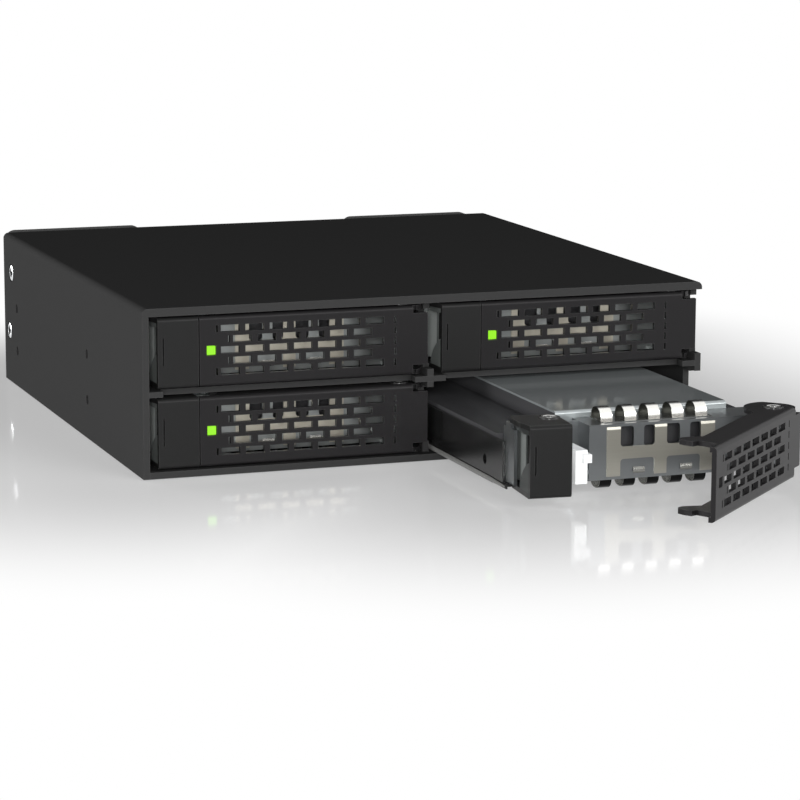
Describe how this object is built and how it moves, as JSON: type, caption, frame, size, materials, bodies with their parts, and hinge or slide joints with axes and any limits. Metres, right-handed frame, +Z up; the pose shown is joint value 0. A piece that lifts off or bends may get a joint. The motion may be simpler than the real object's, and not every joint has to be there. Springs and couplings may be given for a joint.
{
  "type": "hot swap drive cage",
  "caption": "Black steel drive cage for a half-height front bay, with sliding drive trays behind perforated, latched doors and fans at the rear.",
  "frame": {"origin": "middle of the underside of the cage, in the plane it rests on", "axes": "+X right seen from the front, +Y to the rear, +Z up"},
  "size_m": [0.1463, 0.2564, 0.0413],
  "materials": {
    "cage_paint": "fine satin black powder coat",
    "tray_paint": "satin black",
    "door_paint": "satin black",
    "latch_paint": "satin black",
    "bracket_steel": "bare sheet, soft sheen",
    "clip_steel": "warm grey strip",
    "spring_steel": "bright spring strip",
    "drive_black": "smooth gloss black",
    "drive_cover_metal": "grey, nearly mirror smooth",
    "light_pipe_plastic": "milky clear",
    "pin_steel": "dark rivet heads",
    "screw_steel": "bright zinc",
    "circuit_board": "solder mask",
    "connector_plastic": "moulded",
    "connector_metal": "plated shell",
    "fan_plastic": "moulded black"
  },
  "bodies": {
    "cage": {"cage_wrap": "cage_paint", "base_plate": "cage_paint", "bay_shelf": "cage_paint", "bay_mullion": "cage_paint", "rear_plate": "cage_paint", "backplane_board": "circuit_board", "drive_sockets": "connector_plastic", "data_ports": "connector_metal", "power_inlets": "connector_plastic", "board_spacers": "screw_steel", "fan_screws": "screw_steel", "side_screws": "screw_steel", "left_fan_frame": "fan_plastic", "right_fan_frame": "fan_plastic"},
    "upper_left_tray": {"upper_left_tray_frame": "tray_paint", "upper_left_front_bracket": "bracket_steel", "upper_left_spring_clip": "clip_steel", "upper_left_contact_fingers": "spring_steel", "upper_left_drive_body": "drive_black", "upper_left_drive_cover": "drive_cover_metal", "upper_left_light_pipe": "light_pipe_plastic", "upper_left_pivot_pins": "pin_steel", "upper_left_latch_spring": "spring_steel"},
    "upper_left_latch": {"upper_left_latch": "latch_paint"},
    "upper_left_door": {"upper_left_door": "door_paint"},
    "upper_right_tray": {"upper_right_tray_frame": "tray_paint", "upper_right_front_bracket": "bracket_steel", "upper_right_spring_clip": "clip_steel", "upper_right_contact_fingers": "spring_steel", "upper_right_drive_body": "drive_black", "upper_right_drive_cover": "drive_cover_metal", "upper_right_light_pipe": "light_pipe_plastic", "upper_right_pivot_pins": "pin_steel", "upper_right_latch_spring": "spring_steel"},
    "upper_right_latch": {"upper_right_latch": "latch_paint"},
    "upper_right_door": {"upper_right_door": "door_paint"},
    "lower_left_tray": {"lower_left_tray_frame": "tray_paint", "lower_left_front_bracket": "bracket_steel", "lower_left_spring_clip": "clip_steel", "lower_left_contact_fingers": "spring_steel", "lower_left_drive_body": "drive_black", "lower_left_drive_cover": "drive_cover_metal", "lower_left_light_pipe": "light_pipe_plastic", "lower_left_pivot_pins": "pin_steel", "lower_left_latch_spring": "spring_steel"},
    "lower_left_latch": {"lower_left_latch": "latch_paint"},
    "lower_left_door": {"lower_left_door": "door_paint"},
    "lower_right_tray": {"lower_right_tray_frame": "tray_paint", "lower_right_front_bracket": "bracket_steel", "lower_right_spring_clip": "clip_steel", "lower_right_contact_fingers": "spring_steel", "lower_right_drive_body": "drive_black", "lower_right_drive_cover": "drive_cover_metal", "lower_right_light_pipe": "light_pipe_plastic", "lower_right_pivot_pins": "pin_steel", "lower_right_latch_spring": "spring_steel"},
    "lower_right_latch": {"lower_right_latch": "latch_paint"},
    "lower_right_door": {"lower_right_door": "door_paint"},
    "left_fan_rotor": {"left_fan_rotor": "fan_plastic"},
    "right_fan_rotor": {"right_fan_rotor": "fan_plastic"}
  },
  "joints": [
    {"name": "upper_left_tray_slide", "type": "slide", "parent": "cage", "child": "upper_left_tray", "axis": [0, -1, 0], "range_m": [0, 0.13]},
    {"name": "upper_left_door_hinge", "type": "hinge", "parent": "upper_left_tray", "child": "upper_left_door", "pos_m": [-0.0064, -0.0695, 0.03027], "axis": [0, 0, 1], "range_deg": [0, 45]},
    {"name": "upper_left_latch_pivot", "type": "hinge", "parent": "upper_left_tray", "child": "upper_left_latch", "pos_m": [-0.0616, -0.0645, 0.03027], "axis": [0, 0, -1], "range_deg": [0, 9], "stiffness_Nm_per_rad": 0.05, "springref_deg": -8.59},
    {"name": "upper_right_tray_slide", "type": "slide", "parent": "cage", "child": "upper_right_tray", "axis": [0, -1, 0], "range_m": [0, 0.13]},
    {"name": "upper_right_door_hinge", "type": "hinge", "parent": "upper_right_tray", "child": "upper_right_door", "pos_m": [0.0658, -0.0695, 0.03027], "axis": [0, 0, 1], "range_deg": [0, 45]},
    {"name": "upper_right_latch_pivot", "type": "hinge", "parent": "upper_right_tray", "child": "upper_right_latch", "pos_m": [0.0106, -0.0645, 0.03027], "axis": [0, 0, -1], "range_deg": [0, 9], "stiffness_Nm_per_rad": 0.05, "springref_deg": -8.59},
    {"name": "lower_left_tray_slide", "type": "slide", "parent": "cage", "child": "lower_left_tray", "axis": [0, -1, 0], "range_m": [0, 0.13]},
    {"name": "lower_left_door_hinge", "type": "hinge", "parent": "lower_left_tray", "child": "lower_left_door", "pos_m": [-0.0064, -0.0695, 0.01075], "axis": [0, 0, 1], "range_deg": [0, 45]},
    {"name": "lower_left_latch_pivot", "type": "hinge", "parent": "lower_left_tray", "child": "lower_left_latch", "pos_m": [-0.0616, -0.0645, 0.01075], "axis": [0, 0, -1], "range_deg": [0, 9], "stiffness_Nm_per_rad": 0.05, "springref_deg": -8.59},
    {"name": "lower_right_tray_slide", "type": "slide", "parent": "cage", "child": "lower_right_tray", "axis": [0, -1, 0], "range_m": [-0.0605, 0.0695]},
    {"name": "lower_right_door_hinge", "type": "hinge", "parent": "lower_right_tray", "child": "lower_right_door", "pos_m": [0.0658, -0.13, 0.01075], "axis": [0, 0, 1], "range_deg": [-44.5, 0.5]},
    {"name": "lower_right_latch_pivot", "type": "hinge", "parent": "lower_right_tray", "child": "lower_right_latch", "pos_m": [0.0106, -0.125, 0.01075], "axis": [0, 0, -1], "range_deg": [-5, 4], "stiffness_Nm_per_rad": 0.05},
    {"name": "left_fan_spin", "type": "hinge", "parent": "cage", "child": "left_fan_rotor", "pos_m": [-0.0505, 0.0795, 0.02065], "axis": [0, 1, 0], "continuous": true},
    {"name": "right_fan_spin", "type": "hinge", "parent": "cage", "child": "right_fan_rotor", "pos_m": [0.0505, 0.0795, 0.02065], "axis": [0, 1, 0], "continuous": true}
  ]
}
